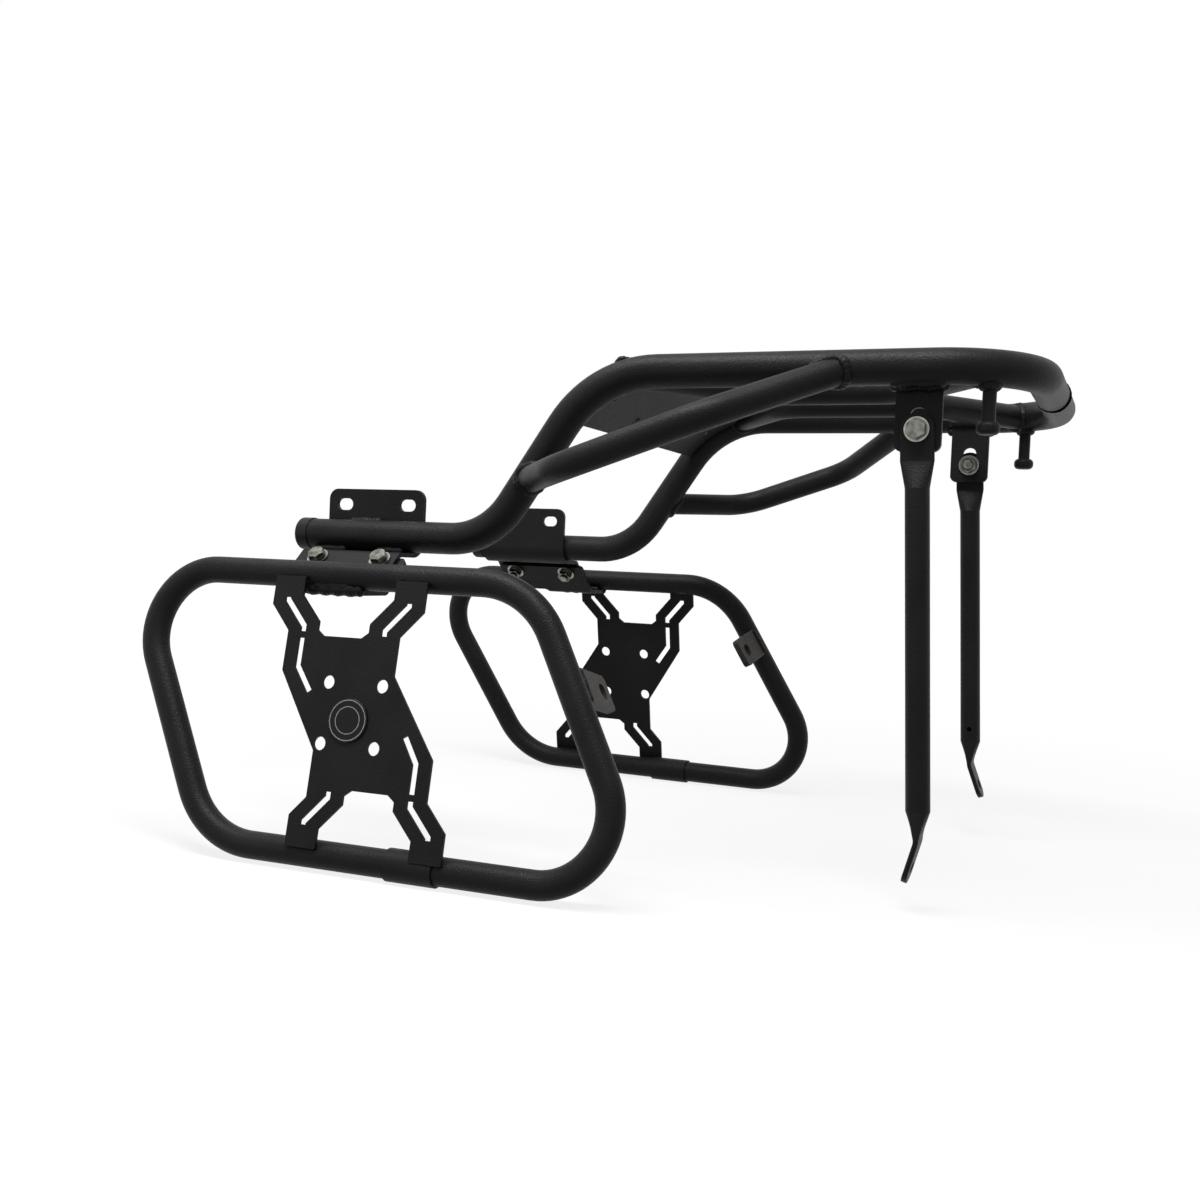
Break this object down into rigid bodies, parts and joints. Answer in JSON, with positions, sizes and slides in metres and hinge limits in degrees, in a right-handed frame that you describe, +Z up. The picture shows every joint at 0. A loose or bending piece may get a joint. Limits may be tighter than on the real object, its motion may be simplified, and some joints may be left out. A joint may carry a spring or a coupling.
{
  "type": "luggage carrier with backrest",
  "caption": "Bent-tube motorbike luggage rack with raised backrest risers, bowed grab rails, slotted seat brackets, braced side frames with cross plates and flattened support rods.",
  "frame": {"origin": "middle of the bounding box in plan, on the ground under the side frames", "axes": "+Y to the front of the bike, +X to its right, +Z up"},
  "size_m": [0.5949, 0.7105, 0.4114],
  "materials": {
    "black_coat": "fine-textured matte black powder coat on steel",
    "lug_coat": "thin dark coat over cut steel plate",
    "zinc_hardware": "bright zinc plated",
    "plug_plastic": "moulded polyethylene",
    "badge_lacquer": "domed resin disc with a grey rim"
  },
  "bodies": {
    "root": {"backrest_plate": "black_coat", "frame_bolts": "zinc_hardware", "frame_nuts": "zinc_hardware", "frame_washers": "zinc_hardware", "hoop_spigot": "black_coat", "left_bungee_stud": "black_coat", "left_end_plug": "plug_plastic", "left_frame_lug": "lug_coat", "left_frame_tab": "black_coat", "left_grab_rail": "black_coat", "left_inner_rail": "black_coat", "left_joint_sleeve": "black_coat", "left_main_rail": "black_coat", "left_mount_bracket": "black_coat", "left_rod_tab": "black_coat", "left_side_frame": "black_coat", "left_support_rod": "black_coat", "left_x_plate": "black_coat", "right_bungee_stud": "black_coat", "right_end_plug": "plug_plastic", "right_frame_lug": "lug_coat", "right_frame_tab": "black_coat", "right_grab_rail": "black_coat", "right_inner_rail": "black_coat", "right_joint_sleeve": "black_coat", "right_main_rail": "black_coat", "right_mount_bracket": "black_coat", "right_rod_tab": "black_coat", "right_side_frame": "black_coat", "right_support_rod": "black_coat", "right_x_plate": "black_coat", "rod_bolts": "zinc_hardware", "rod_nuts": "zinc_hardware", "rod_washers": "zinc_hardware", "round_badge": "badge_lacquer"}
  },
  "joints": []
}
